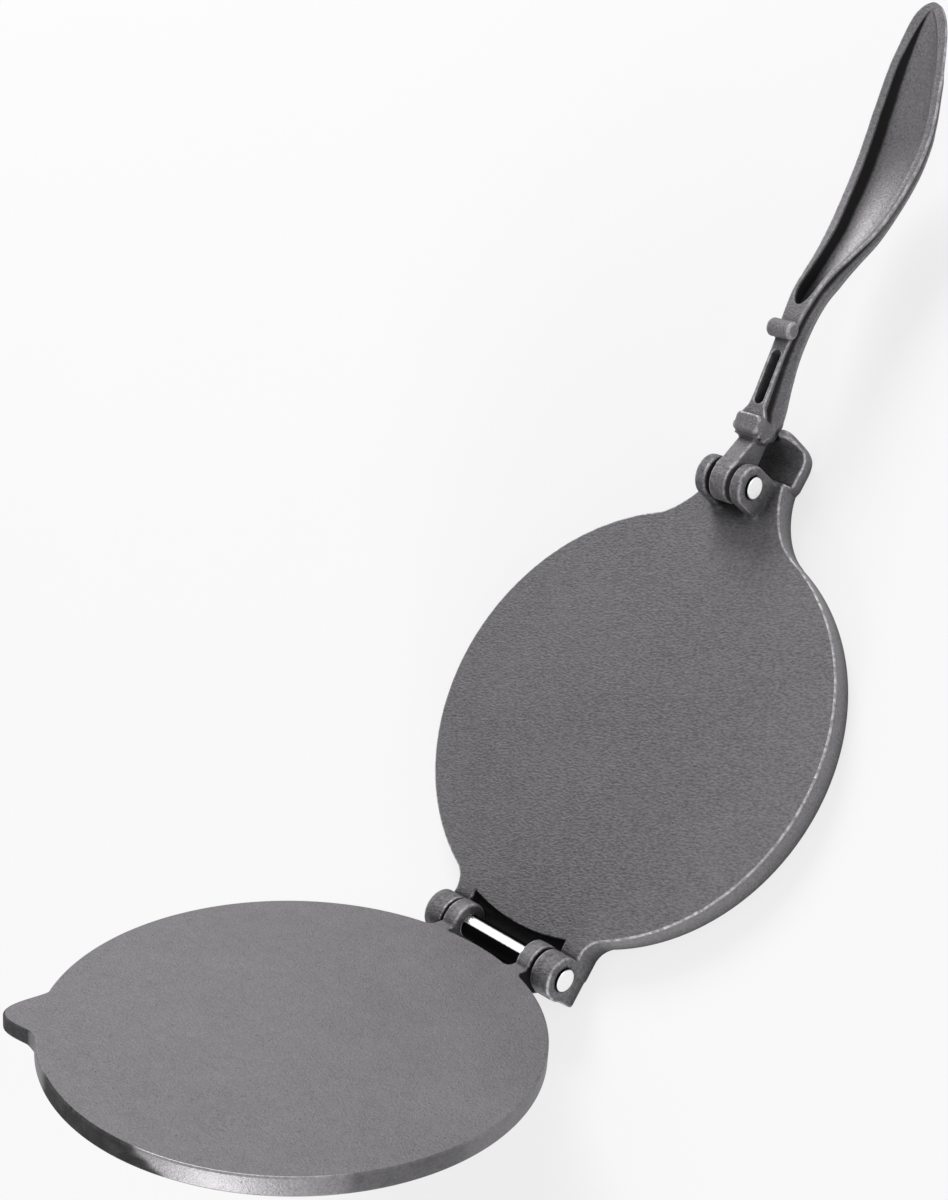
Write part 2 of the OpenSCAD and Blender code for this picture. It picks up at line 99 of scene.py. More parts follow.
class Bench:
    """Where the nodes of one material or world are put together."""

    def __init__(self, owner):
        owner.use_nodes = True
        self.owner, self.tree = owner, owner.node_tree
        self.tree.nodes.clear()
        self.place = self.node("TexCoord", {}, {}, "Object")

    def node(self, kind, settings, inputs, output=0):
        """A node of any kind: first its settings, then its sockets' values or wires. Gives back one
        output."""
        made = self.tree.nodes.new("ShaderNode" + kind)
        for key, value in settings.items():
            setattr(made, key, value)
        for key, value in inputs.items():
            if isinstance(value, Wire):
                self.tree.links.new(value.socket, made.inputs[key])
            else:
                made.inputs[key].default_value = value
        return Wire(self, made.outputs[output])

    def maths(self, operation, *values, clamp=False):
        """One Math node on wires and plain numbers."""
        return self.node("Math", {"operation": operation, "use_clamp": clamp}, dict(enumerate(values)))

    def noise(self, size, detail=2.0, rough=0.5, place=None):
        """Cloudy noise, 0 to 1, whose lumps are about size millimetres across."""
        inputs = {
            "Vector": place or self.place, "Scale": 1 / (size * MM), "Detail": detail, "Roughness": rough}
        return self.node("TexNoise", {}, inputs)

    def cells(self, size):
        """Distance from the nearest of scattered points that are about size millimetres apart."""
        return self.node("TexVoronoi", {}, {"Vector": self.place, "Scale": 1 / (size * MM)}, "Distance")

    def value(self, name):
        """One of the mesh's own values, such as how sharply it bends."""
        return self.node("Attribute", {"attribute_name": name}, {}, "Fac")

    def along(self, axis):
        """Place along one axis, in millimetres."""
        return self.node("SeparateXYZ", {}, {0: self.place}, axis) * (1 / MM)

    def mix(self, share, first, second):
        """A colour between two colours."""
        kind = {"data_type": "RGBA", "clamp_factor": True}
        return self.node("Mix", kind, {0: share, 6: first, 7: second}, 2)

    def seen(self):
        """1 for what the camera, a mirror or clear stuff looks at, 0 for what only gives light."""
        seen = (self.node("LightPath", {}, {}, "Is Camera Ray")
                + self.node("LightPath", {}, {}, "Is Glossy Ray"))
        return (seen + self.node("LightPath", {}, {}, "Is Transmission Ray")).limit()

    def surface(self, constants, varying, height=None, depth=0.0, rounding=0.0):
        """A solid surface. height is a bump of depth millimetres, rounding softens sharp edges by that
        many."""
        feed = {**constants, **varying}
        if rounding:
            feed["Normal"] = self.node("Bevel", {"samples": 6}, {"Radius": rounding * MM})
        if height is not None:
            bump = {"Strength": 1.0, "Distance": depth * MM, "Height": height}
            if rounding:
                bump["Normal"] = feed["Normal"]
            feed["Normal"] = self.node("Bump", {}, bump)
        return self.node("BsdfPrincipled", {}, feed)

    def finish(self, shader, kind="Material"):
        """Sends a shader to the output, and gives back the finished material or world."""
        end = self.tree.nodes.new("ShaderNodeOutput" + kind)
        self.tree.links.new(shader.socket, end.inputs["Surface"])
        return self.owner


def steel_grey(level):
    """A grey with a trace of blue."""
    return (level, level, level + 0.004, 1.0)


def iron(level):
    """A very slightly violet grey."""
    return (level * 1.02, level * 0.985, level * 1.03, 1.0)


def cast_iron(name, dark, pale, wear, grain, shade_strength, lit_bare_tone, stretch=1.0, gap=False):
    """Bare sand-cast iron: a wrinkled skin, fine sand and dark pits, slow cloudy changes of tone, edges
    worn bright in places and brightened further as a painted highlight, darker concave corners, painted shade
    where nearby surfaces close round a place, and painted black shade between the base's ears. The mesh's own
    values say where its edges bend (bend), where it is barer and also painted lighter as a stand-in for light
    (ground), where painted shade and painted dark reflections lie (painted_shade), where it is knocked
    about (knocks) and where its edges stay dull (dull). Its tones are dark and pale, wear, grain and
    shade_strength say how much of each there is, lit_bare_tone is how far those barer, painted-lighter places
    are paler, stretch draws the wrinkles out, and gap paints the room between the base's ears black as shade."""
    b = Bench(bpy.data.materials.new(name))
    lie = {"Vector": b.place, "Rotation": (0, 0, WRINKLE_TURN), "Scale": (stretch, 1, 1)}
    wrinkle = b.noise(WRINKLE, 1.5, 0.5, b.node("Mapping", {"vector_type": "TEXTURE"}, lie))
    sand = b.noise(SAND, 2.0, 0.6)
    cloud = b.noise(CLOUD, 3.0, 0.55)
    blotch = b.noise(BLOTCH, 3.0, 0.6)
    patch = b.noise(PATCH, 3.0, 0.65)
    pits = 1.0 - b.cells(PITS_APART).step(0.0, PIT_SHARE)
    bend = b.value("bend") + (blotch - 0.5) * 0.12
    ground = b.value("ground")
    knocks = b.value("knocks")
    # Worn edges, brightened further as a painted highlight along convex edges
    worn_edge_and_highlight = bend.step(0.2, 0.46) * (patch.step(0.36, 0.64) * 0.7 + 0.3) * (1.0 - b.value("dull"))
    # Darker in concave corners
    hollow = (bend * -1.0).step(0.05, 0.3)
    # Painted shade: darker where nearby surfaces close round a place, found with an ambient occlusion node
    closed = b.node("AmbientOcclusion", {"samples": 8}, {"Distance": SHADE_REACH * MM}, "AO")
    occlusion_shade = (1.0 - closed + (blotch - 0.5) * 0.15).step(0.1, 0.6)
    # Painted shade and painted dark reflections, where the mesh's values put them
    painted_shade = (b.value("painted_shade") + (blotch - 0.5) * 0.3).step(0.2, 0.75)
    # Painted shade: the room between the base's ears is painted nearly black
    if gap:
        x, y = b.along("X"), b.along("Y")
        radius = (x * x + y * y) ** 0.5
        between = (1.0 - x.size().step(KNUCKLE_OUT - 0.5, EAR_IN - 0.1)) * y.step(60.0, 61.0)
        painted_shade = (painted_shade + radius.step(BASE_R - 1.4, BASE_R) * between).limit()
    fine = (wrinkle - 0.5) * grain + (sand - 0.5) * 0.75 * grain
    tone = (cloud * 0.45 + blotch * 0.35 + (patch - 0.5) * (0.35 + knocks * 2.2) + fine + 0.1).limit()
    colour = b.mix(tone, iron(dark), iron(pale))
    # Paler where the mesh's values say: partly barer iron, partly painted lighter as a stand-in for light
    colour = b.mix(ground * 0.8, colour, b.mix(tone, iron(pale * lit_bare_tone * 0.5), iron(pale * lit_bare_tone)))
    colour = b.mix(pits * 0.4, colour, iron(dark * 0.5))
    colour = b.mix(hollow * 0.65, colour, iron(dark * 0.35))
    colour = b.mix(occlusion_shade * (1.0 - ground * 0.7) * shade_strength, colour, iron(dark * 0.14))
    colour = b.mix(painted_shade * 0.95, colour, iron(dark * 0.06))
    colour = b.mix(worn_edge_and_highlight * (1.0 - occlusion_shade * 0.7) * wear, colour, iron(pale * 2.6))
    bare_and_lit = (worn_edge_and_highlight * wear * 0.8 + ground * 0.5).limit()
    rough = (0.37 + sand * 0.16 + wrinkle * 0.12 + cloud * 0.1 - bare_and_lit * 0.22 + (occlusion_shade + painted_shade) * 0.3).limit()
    height = (wrinkle * 0.6 + sand * 0.4 - pits * 0.4) * (1.0 - ground * 0.7)
    varying = {
        "Base Color": colour, "Roughness": rough, "Metallic": (0.45 + bare_and_lit * 0.5 - painted_shade * 0.4).limit()}
    return b.finish(b.surface({"Specular IOR Level": 0.25}, varying, height, 0.5 * grain))


def bright_steel(name, ear_out, middle, painted_dark_between=False):
    """Ground round bar: bright, with fine marks round it, a few dull spots and a dark band where it leaves
    its ears. Between the ears it can be painted black as a stand-in for shade and dark reflections, all but a
    band along its top."""
    b = Bench(bpy.data.materials.new(name))
    marks = b.noise(0.7, 2.0, 0.5, b.node("Mapping", {}, {"Vector": b.place, "Scale": (4.0, 0.6, 0.6)}))
    cloud = b.noise(6.0, 2.0, 0.5)
    out = (b.along("X") - middle).size() - ear_out
    # A dark band where the pin leaves its ears
    dark_band = out.step(-0.4, 0.0) * (1.0 - out.step(1.05, 1.25))
    colour = b.mix((cloud * 0.6 + marks * 0.4).limit(), steel_grey(0.9), steel_grey(0.99))
    # Between the ears the pin is painted black, all but a band along its top, as painted shade and reflection
    if painted_dark_between:
        y = b.along("Y") - HINGE_Y + (marks - 0.5) * 0.6
        between = 1.0 - out.step(-20.5, -19.5)
        dark_band = (dark_band + between * (y.step(-0.9, -0.5) + 1.0 - y.step(-4.4, -4.0))).limit()
    colour = b.mix(dark_band, colour, PIN_DARK_BLACK)
    rough = ((0.12 + marks * 0.1 + cloud * 0.08).limit() + dark_band * 0.7).limit()
    varying = {"Base Color": colour, "Roughness": rough, "Metallic": 1.0 - dark_band}
    return b.finish(b.surface({"Specular IOR Level": 0.0}, varying, marks, 0.02, 0.3))


def pale_floor(name):
    """Matt white paper. What the camera and the metal see of it is mostly plain white, over the real
    shadow."""
    b = Bench(bpy.data.materials.new(name))
    colour = b.mix(b.noise(120.0, 2.0, 0.5), (0.92, 0.92, 0.92, 1.0), (0.94, 0.94, 0.94, 1.0))
    paper = b.surface({"Roughness": 0.9, "Specular IOR Level": 0.2}, {"Base Color": colour})
    white = b.node("Emission", {}, {"Color": WHITE, "Strength": 1.0})
    return b.finish(b.node("MixShader", {}, {0: b.seen() * PLAIN_WHITE_SHARE, 1: paper, 2: white}))


# Forms

# A form is a whole array of distances in millimetres on a grid of places: negative inside the metal.


def places(low, high, step):
    """Open X, Y and Z arrays that span a box in even steps."""
    ends = [np.arange(a, b + step / 2, step) for a, b in zip(low, high)]
    return np.ix_(*ends)


def join(a, b, fillet=0.0):
    """Two forms in one. The corner between them gets a fillet: max(f, min(a, b)) - |(f-a, f-b)| where
    positive."""
    if not fillet:
        return np.minimum(a, b)
    corner = np.hypot(np.maximum(fillet - a, 0), np.maximum(fillet - b, 0))
    return np.maximum(fillet, np.minimum(a, b)) - corner


def meet(a, b, rounding=0.0):
    """What two forms share, with the edge between them rounded."""
    return -join(-a, -b, rounding)


def carve(a, b, rounding=0.0):
    """Form a with form b cut away, with the edge of the cut rounded."""
    return meet(a, -b, rounding)


def slab(u, low, high):
    """A plate of endless width between two places along u: |u - middle| less half its thickness."""
    return np.abs(u - (low + high) / 2) - (high - low) / 2


def bar(y, z, radius):
    """A round bar of endless length along X: |(y, z)| less its radius."""
    return np.hypot(y, z) - radius


def outline(points, u, v):
    """Distance in a plane to a closed outline, from its nearest side; a place is inside when a level line
    from it crosses the outline an odd number of times."""
    nearest, inside = 1e9, False
    points = np.asarray(points, float)
    for (ax, ay), (bx, by) in zip(points, np.roll(points, -1, 0)):
        ex, ey = bx - ax, by - ay
        long = ex * ex + ey * ey
        if long < 1e-12:
            continue
        t = np.clip(((u - ax) * ex + (v - ay) * ey) / long, 0, 1)
        nearest = np.minimum(nearest, (u - ax - t * ex) ** 2 + (v - ay - t * ey) ** 2)
        if ey:
            inside = inside ^ (((ay > v) != (by > v)) & (u < ax + (v - ay) * ex / ey))
    return np.where(inside, -1, 1) * np.sqrt(nearest)


def arc(centre, radius, start, stop, steps):
    """Points on an arc, from one angle in degrees to another."""
    turn = np.radians(np.linspace(start, stop, steps + 1))
    return [(centre[0] + radius * c, centre[1] + radius * s) for c, s in zip(np.cos(turn), np.sin(turn))]


def ramp(value, low, high):
    """0 below low and 1 above high, along 3t^2 - 2t^3 between them."""
    t = np.clip((value - low) / (high - low), 0, 1)
    return t * t * (3 - 2 * t)


def sinking(form, off, start, end, proud=0.01):
    """The form, a little proud up to start, and from end on SINK under its own surface, along ramp(off): so a
    copy of one piece's skin runs into another piece and meets it without a seam."""
    return form + SINK * ramp(off, start, end) - proud


CORNERS = np.array([(i, j, k) for i in (0, 1) for j in (0, 1) for k in (0, 1)])
SIDES = [(a, b) for a in range(8) for b in range(a + 1, 8) if np.abs(CORNERS[a] - CORNERS[b]).sum() == 1]


def skin(form, low, step):
    """Closed skin of a form: a point in each grid cell that the surface crosses, at the mean of its crossings
    a + (b - a) * fa / (fa - fb), and a face of four points round each grid side that it crosses."""
    size = np.array(form.shape) - 1
    solid = form < 0
    count = np.zeros(size, np.int8)
    for i, j, k in CORNERS:
        count += solid[i : i + size[0], j : j + size[1], k : k + size[2]]
    crossed = (count > 0) & (count < 8)
    cell = np.argwhere(crossed)
    number = np.full(size, -1)
    number[crossed] = np.arange(len(cell))
    value = np.stack([form[tuple((cell + c).T)] for c in CORNERS], 1)
    total, hits = np.zeros((len(cell), 3)), np.zeros((len(cell), 1))
    for a, b in SIDES:
        change = ((value[:, a] < 0) != (value[:, b] < 0))[:, None]
        fall = (value[:, a] - value[:, b])[:, None]
        t = value[:, a][:, None] / np.where(change, fall, 1)
        total += change * (CORNERS[a] + t * (CORNERS[b] - CORNERS[a]))
        hits += change
    points = np.array(low) + step * (cell + total / hits)
    faces = []
    for axis in range(3):
        one, two = (axis + 1) % 3, (axis + 2) % 3
        here = np.take(solid, np.arange(size[axis]), axis)
        there = np.take(solid, np.arange(1, size[axis] + 1), axis)
        side = np.argwhere(here != there)
        side = side[
            (side[:, one] > 0) & (side[:, one] < size[one]) & (side[:, two] > 0) & (side[:, two] < size[two])]
        corner = []
        for back_one, back_two in ((1, 1), (0, 1), (0, 0), (1, 0)):
            at = side.copy()
            at[:, one] -= back_one
            at[:, two] -= back_two
            corner.append(number[tuple(at.T)])
        quad = np.stack(corner, 1)
        outward = here[tuple(side.T)]
        faces.append(np.where(outward[:, None], quad, quad[:, ::-1]))
    return points, np.concatenate(faces)


def sheet(points, cap_first=False, cap_last=False):
    """Faces of a grid of points (rows, columns, 3) whose columns run round a ring; a cap closes an end row
    with a fan to its middle."""
    rows, columns = points.shape[:2]
    index = np.arange(rows * columns).reshape(rows, columns)
    ring = np.hstack([index, index[:, :1]])
    faces = np.stack([ring[:-1, :-1], ring[:-1, 1:], ring[1:, 1:], ring[1:, :-1]], -1).reshape(-1, 4).tolist()
    flat = points.reshape(-1, 3)
    for wanted, row in ((cap_first, 0), (cap_last, -1)):
        if wanted:
            middle = len(flat)
            flat = np.vstack([flat, points[row].mean(0)])
            pairs = zip(ring[row, :-1].tolist(), ring[row, 1:].tolist())
            faces += [(b, a, middle) if row == 0 else (a, b, middle) for a, b in pairs]
    return flat, faces


def from_middle(points):
    """Each point's distance from the discs' axis."""
    return np.hypot(points[:, 0], points[:, 1])


def near_bar(points, y, z):
    """1 on and inside a knuckle round a pin, 0 further off."""
    return 1 - ramp(np.hypot(points[:, 1] - y, points[:, 2] - z), *KNOCKED)


def rim_bare_and_lit(points, away):
    """How far the base's side is barer and also painted lighter as a stand-in for light: all of it where
    away, the distance from its plan outline, is next to nothing, up to just below its top edge."""
    return (SIDE_BARE_AND_LIT * (1 - ramp(np.abs(away), 0.2, 0.9))
            * (1 - ramp(points[:, 2], BASE_H - 1.4, BASE_H - 0.6)))


def turned_open(points):
    """Points of the closed lid, turned back about the hinge axis by the open angle: y' = y cos - z sin,
    z' = y sin + z cos."""
    a = -math.radians(OPEN_ANGLE)
    y, z = points[:, 1] - HINGE_Y, points[:, 2] - HINGE_Z
    turned = points.copy()
    turned[:, 1] = HINGE_Y + y * math.cos(a) - z * math.sin(a)
    turned[:, 2] = HINGE_Z + y * math.sin(a) + z * math.cos(a)
    return turned


def mark_bends(mesh):
    """Writes each point's bend in 1/mm: the mean over its edges of (n' - n).(p' - p) / |p' - p|^2, smoothed
    twice. It is positive along outer edges and negative in hollow corners."""
    count, sides = len(mesh.vertices), len(mesh.edges)
    point, normal, pair = np.empty(count * 3), np.empty(count * 3), np.empty(sides * 2, int)
    mesh.vertices.foreach_get("co", point)
    mesh.vertices.foreach_get("normal", normal)
    mesh.edges.foreach_get("vertices", pair)
    point, normal, (a, b) = point.reshape(-1, 3) / MM, normal.reshape(-1, 3), pair.reshape(-1, 2).T
    gap, turn = point[b] - point[a], normal[b] - normal[a]
    rate = np.einsum("ij,ij->i", gap, turn) / np.maximum(np.einsum("ij,ij->i", gap, gap), 0.01)
    share = np.maximum(np.bincount(a, minlength=count) + np.bincount(b, minlength=count), 1)
    bend = (np.bincount(a, rate, count) + np.bincount(b, rate, count)) / share
    for _ in range(2):
        around = (np.bincount(a, bend[b], count) + np.bincount(b, bend[a], count)) / share
        bend = 0.5 * bend + 0.5 * around
    mesh.attributes.new("bend", "FLOAT", "POINT").data.foreach_set("value", bend)


def add_piece(name, parts, body, slot, material, node, **marks):
    """One visible, smooth piece from (points, faces) parts in millimetres, with the first parts' marks on
    it. A part whose volume, the sum over its faces of a.(b x c) + a.(c x d), is negative is turned right
    side out."""
    points, faces, start = [], [], 0
    for part_points, part_faces in parts:
        part_faces = [list(f) for f in part_faces]
        first, second, third, last = (part_points[[f[k] for f in part_faces]] for k in (0, 1, 2, -1))
        volume = np.einsum("ij,ij->", first, np.cross(second, third) + np.cross(third, last))
        if volume < 0:
            part_faces = [f[::-1] for f in part_faces]
        points.append(part_points)
        faces += [[i + start for i in f] for f in part_faces]
        start += len(part_points)
    mesh = bpy.data.meshes.new(name)
    mesh.from_pydata((np.concatenate(points) * MM).tolist(), [], faces)
    mesh.shade_smooth()
    mark_bends(mesh)
    for mark, value in marks.items():
        padded = np.pad(value, (0, start - len(value)))
        mesh.attributes.new(mark, "FLOAT", "POINT").data.foreach_set("value", padded)
    mesh.materials.append(material)
    piece = bpy.data.objects.new(name, mesh)
    bpy.context.scene.collection.objects.link(piece)
    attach(piece, body)
    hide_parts(node)


# Sizes, as in the CAD

BASE_R, BASE_H, SOFFIT_Z, SKIRT_R = 103.4, 13.5, 7.7, 97.4
LID_R, LID_H, LID_WALL, LID_RIM_IN, LID_FACE_Z = 102.0, 8.4, 5.6, 95.0, 13.7
TAB_OUT, TAB_ANGLE, TAB_SPREAD, TAB_DROP = 13.6, 41.0, 11.0, 1.6
HINGE_Y, HINGE_Z, OPEN_ANGLE = 114.5, 16.6, 125.0
EAR_OUT, EAR_IN, EAR_R, KNUCKLE_OUT, KNUCKLE_IN, KNUCKLE_R = 39.5, 28.5, 9.8, 27.3, 19.5, 10.2
PIN_R, SWING_R, LIP_DROP, HEEL_R, HEEL_DROP, HEEL_TURN = 5.4, 11.0, 8.5, 12.3, 8.38, 145.0
FRONT_X, PIVOT_Y, PIVOT_Z, CLEVIS_OUT, CLEVIS_IN, CLEVIS_R = -0.8, -116.9, 26.4, 13.2, 7.0, 9.8
END_Y, STEP_Y, FLOOR_Z, HORN_Z, CRADLE_W = -148.3, -126.3, 7.9, 26.0, 4.4
HANDLE_LEN, GRIP_HALF, NECK_HALF, SADDLE_Z = 233.0, 17.3, 19.2, 15.95
SLOT_MIDDLE, SLOT_STRAIGHT, SLOT_R, SLOT_DEEP, HUB_HALF = 48.35, 10.3, 2.45, 8.0, 4.6

# The looks' own: the rounding of the castings' edges, how far one skin sinks under another, how far the
# base's side is barer and painted lighter, from where to where round a pin the iron is knocked about, and the
# radius of the first ring round a disc's middle
EDGE_R, SINK, SIDE_BARE_AND_LIT, KNOCKED, FIRST_RING = 0.95, 0.16, 0.45, (10.6, 14.5), 12.0

# The neck and the hinge block carry a copy of the disc's skin, from this radius out and from this height up
COPY_R, COPY_Z = 99.5, 9.5


# Castings of the base


def base_disc():
    """Disc with a round worn edge, a skirt that it stands on and a hollow underside: a profile of (radius,
    height) points turned round the Z axis, (r cos a, r sin a, z)."""
    edge, foot, inside, corner = EDGE_R, 0.8, SOFFIT_Z, 3
    profile = [(r, BASE_H) for r in np.linspace(FIRST_RING, BASE_R - edge - 0.6, 10)]
    profile += arc((BASE_R - edge, BASE_H - edge), edge, 90, 0, 8)
    profile += [(BASE_R, BASE_H - edge - 0.5), (BASE_R, 8.0), (BASE_R, 3.0)]
    profile += arc((BASE_R - foot, foot), foot, 0, -90, 4)
    profile += arc((SKIRT_R + foot, foot), foot, 270, 180, 4) + [(SKIRT_R, inside - corner - 0.5)]
    profile += arc((SKIRT_R - corner, inside - corner), corner, 0, 90, 6)
    profile += [(SKIRT_R - corner - 1, inside), (60, inside), (FIRST_RING, inside)]
    turn = np.linspace(0, 2 * np.pi, 289)[:-1]
    r, z = np.array(profile).T[:, :, None]
    points, faces = sheet(np.stack([r * np.cos(turn), r * np.sin(turn), z + 0 * turn], -1), True, True)
    # The side is barer and also painted lighter as a stand-in for light
    return (points, faces), rim_bare_and_lit(points, from_middle(points) - BASE_R)


def rounded_bar(half_width, low, high, half_length, along_y=True):
    """A rib with round lower edges: a ring of (across, height) points, the same at each end of its length."""
    ring = arc((half_width - 1, low + 1), 1, 0, -90, 4)[::-1] + [(half_width + 0.3, high)]
    across, height = np.array(ring + [(-a, h) for a, h in ring[::-1]]).T
    length = np.array([-half_length, 0, half_length])[:, None]
    grid = np.stack([across + 0 * length, length + 0 * across, height + 0 * length], -1)
    return sheet(grid if along_y else grid[..., [1, 0, 2]], True, True)


def neck_side():
    """One side of the neck's plan: a Bezier curve (1-t)^3 a + 3 (1-t)^2 t b + 3 (1-t) t^2 c + t^3 d from the
    disc to the step, then a round corner at its end."""
    turn, corner = math.radians(23), 6.0
    a, d = BASE_R * np.array([math.sin(turn), -math.cos(turn)]), np.array([NECK_HALF - 1, STEP_Y])
    b, c = a - 11 * np.array([math.cos(turn), math.sin(turn)]), d + (2.6, 13)
    t = np.linspace(0, 1, 25)[:, None]
    curve = (1 - t) ** 3 * a + 3 * (1 - t) ** 2 * t * b + 3 * (1 - t) * t * t * c + t**3 * d
    end = arc((NECK_HALF - corner, END_Y + corner), corner, 0, -90, 10)
    return curve.tolist() + [(NECK_HALF, STEP_Y - 2.5)] + end


def mirrored(side):
    """A whole outline from its right side, (p, q) and (-p, q)."""
    return list(side) + [(-p, q) for p, q in side[::-1]]


def base_front(step=0.5):
    """Neck, cradle and handle ears. The neck is its plan, side and front outlines met with round edges; the
    ears rise from it with fillets; a skin of the disc runs in and sinks below the disc's own surface."""
    low = (-48.0, -151.0, -1.0)
    X, Y, Z = places(low, (48.0, -63.0, 38.0), step)
    x, r = np.abs(X - FRONT_X), np.hypot(X, Y)
    side = neck_side()
    wide = mirrored([(side[0][0], -65.0)] + side)
    wall, dip, crest, toe = END_Y + CRADLE_W, 6.0, CRADLE_W / 2 - 0.1, 11.0
    profile = [
        (-60, 0), (-60, BASE_H), (STEP_Y + 1, BASE_H), (STEP_Y - 0.8, BASE_H - 0.9), (STEP_Y - 1.8, FLOOR_Z)]
    profile += arc((wall + dip, FLOOR_Z + dip), dip, 270, 180, 10)
    profile += (arc((wall - crest, HORN_Z - crest), crest, 0, 180, 8)
                + arc((END_Y + toe, toe), toe, 180, 270, 12))
    form = meet(outline(wide, x, Y), outline(profile, Y, Z), EDGE_R)
    horn = 9.0
    shoulder = np.hypot(np.maximum(x - (NECK_HALF - horn), 0), Z - (HORN_Z - horn)) - horn
    form = meet(form, np.where(Z > HORN_Z - horn, shoulder, -5.0), 1.6)
    seat = 9.8
    saddle = np.hypot(x, np.minimum(Z - SADDLE_Z - seat, 0)) - seat
    form = carve(form, np.maximum(saddle, Y - PIVOT_Y + 10.5), 2.4)
    pocket = np.maximum(np.maximum(x - 12, Z - 4), np.maximum(END_Y + toe - Y, Y + BASE_R + 1))
    form = carve(form, pocket, 0.8)
    # Of the disc only the outer skin next to the neck is kept
    disc = meet(r - BASE_R, slab(Z, 0, BASE_H), EDGE_R)
    disc = carve(disc, np.maximum(r - COPY_R, Z - COPY_Z))
    disc = meet(disc, np.maximum(np.abs(X) - 46.5, Y + 83.5))
    form = sinking(join(form, disc), outline(mirrored(side), x, Y), 1.0, 9.0, 0.012)
    ear = np.hypot(Y - PIVOT_Y, np.maximum(Z - PIVOT_Z, 0)) - CLEVIS_R
    ear = meet(meet(ear, slab(x, CLEVIS_IN, CLEVIS_OUT), 1.5), 6.0 - Z)
    form = join(form, ear, 2.2)
    form = carve(form, bar(Y - PIVOT_Y, Z - PIVOT_Z, PIN_R), 0.4)
    points, faces = skin(form, low, step)
    plan = outline(wide, np.abs(points[:, 0] - FRONT_X), points[:, 1])
    off = from_middle(points) - BASE_R
    # The side is barer and also painted lighter as a stand-in for light
    bare_and_lit = rim_bare_and_lit(points, np.minimum(np.abs(off), np.where(off > 0, np.abs(plan), 9)))
    return (points, faces), {"knocks": near_bar(points, PIVOT_Y, PIVOT_Z), "ground": bare_and_lit}


def base_hinge(step=0.5):
    """Block, lip and ears for the hinge pin: side outlines drawn across, met with round edges, with room cut
    for the lid's knuckles and a skin of the disc that sinks below the disc's own surface."""
    low = (-56.0, 80.0, -1.0)
    X, Y, Z = places(low, (56.0, 127.0, 29.0), step)
    x = np.abs(X)
    back, foot, root = 124.3, 0.8, 88.4
    corner = arc((back - 1.4, foot + 1.4), 1.4, -90, 0, 8)
    block = outline(corner + [(back, 10.0), (root, 10.0), (root, foot)], Y, Z)
    shelf = [(HINGE_Y - EAR_R, BASE_H - 2), (root, BASE_H - 2), (root, foot)]
    ear = outline(corner + [(back, HINGE_Z), (HINGE_Y, HINGE_Z)] + shelf, Y, Z)
    ear = join(ear, bar(Y - HINGE_Y, Z - HINGE_Z, EAR_R), 2.0)
    form = join(meet(block, x - EAR_OUT, 1.0), meet(ear, slab(x, EAR_IN, EAR_OUT), 1.0))
    # In plan the arms run out of the disc with a wide fillet on their outer side, flush with its face. Of the
    # disc only the outer skin next to them is kept
    r = np.hypot(X, Y)
    arms = np.maximum(slab(x, EAR_IN, EAR_OUT), Y - HINGE_Y)
    plan = np.where(x > EAR_IN + 4, join(r - BASE_R, arms, 6.0), join(r - BASE_R, arms, 1.0))
    plate = meet(plan, slab(Z, 0, BASE_H), EDGE_R)
    plate = carve(plate, np.maximum(r - COPY_R, Z - COPY_Z))
    plate = meet(plate, np.maximum(np.maximum(82.0 - Y, Y - HINGE_Y + 3), x - 54.5))
    form = join(form, sinking(plate, np.maximum(arms, 97.0 - Y), 5.0, 12.0))
    middle = x - EAR_IN
    form = carve(form, np.maximum(bar(Y - HINGE_Y, Z - HINGE_Z, SWING_R), middle), 0.8)
    lip = np.maximum(HINGE_Y - Y, HINGE_Z - LIP_DROP - Z)
    form = carve(form, np.maximum(lip, middle), 0.6)
    form = carve(form, bar(Y - HINGE_Y, Z - HINGE_Z, PIN_R), 0.4)
    points, faces = skin(form, low, step)
    # The side is barer and also painted lighter as a stand-in for light
    bare_and_lit = rim_bare_and_lit(points, from_middle(points) - BASE_R)
    return (points, faces), {"knocks": near_bar(points, HINGE_Y, HINGE_Z), "ground": bare_and_lit}


# Castings of the lid, in its closed place


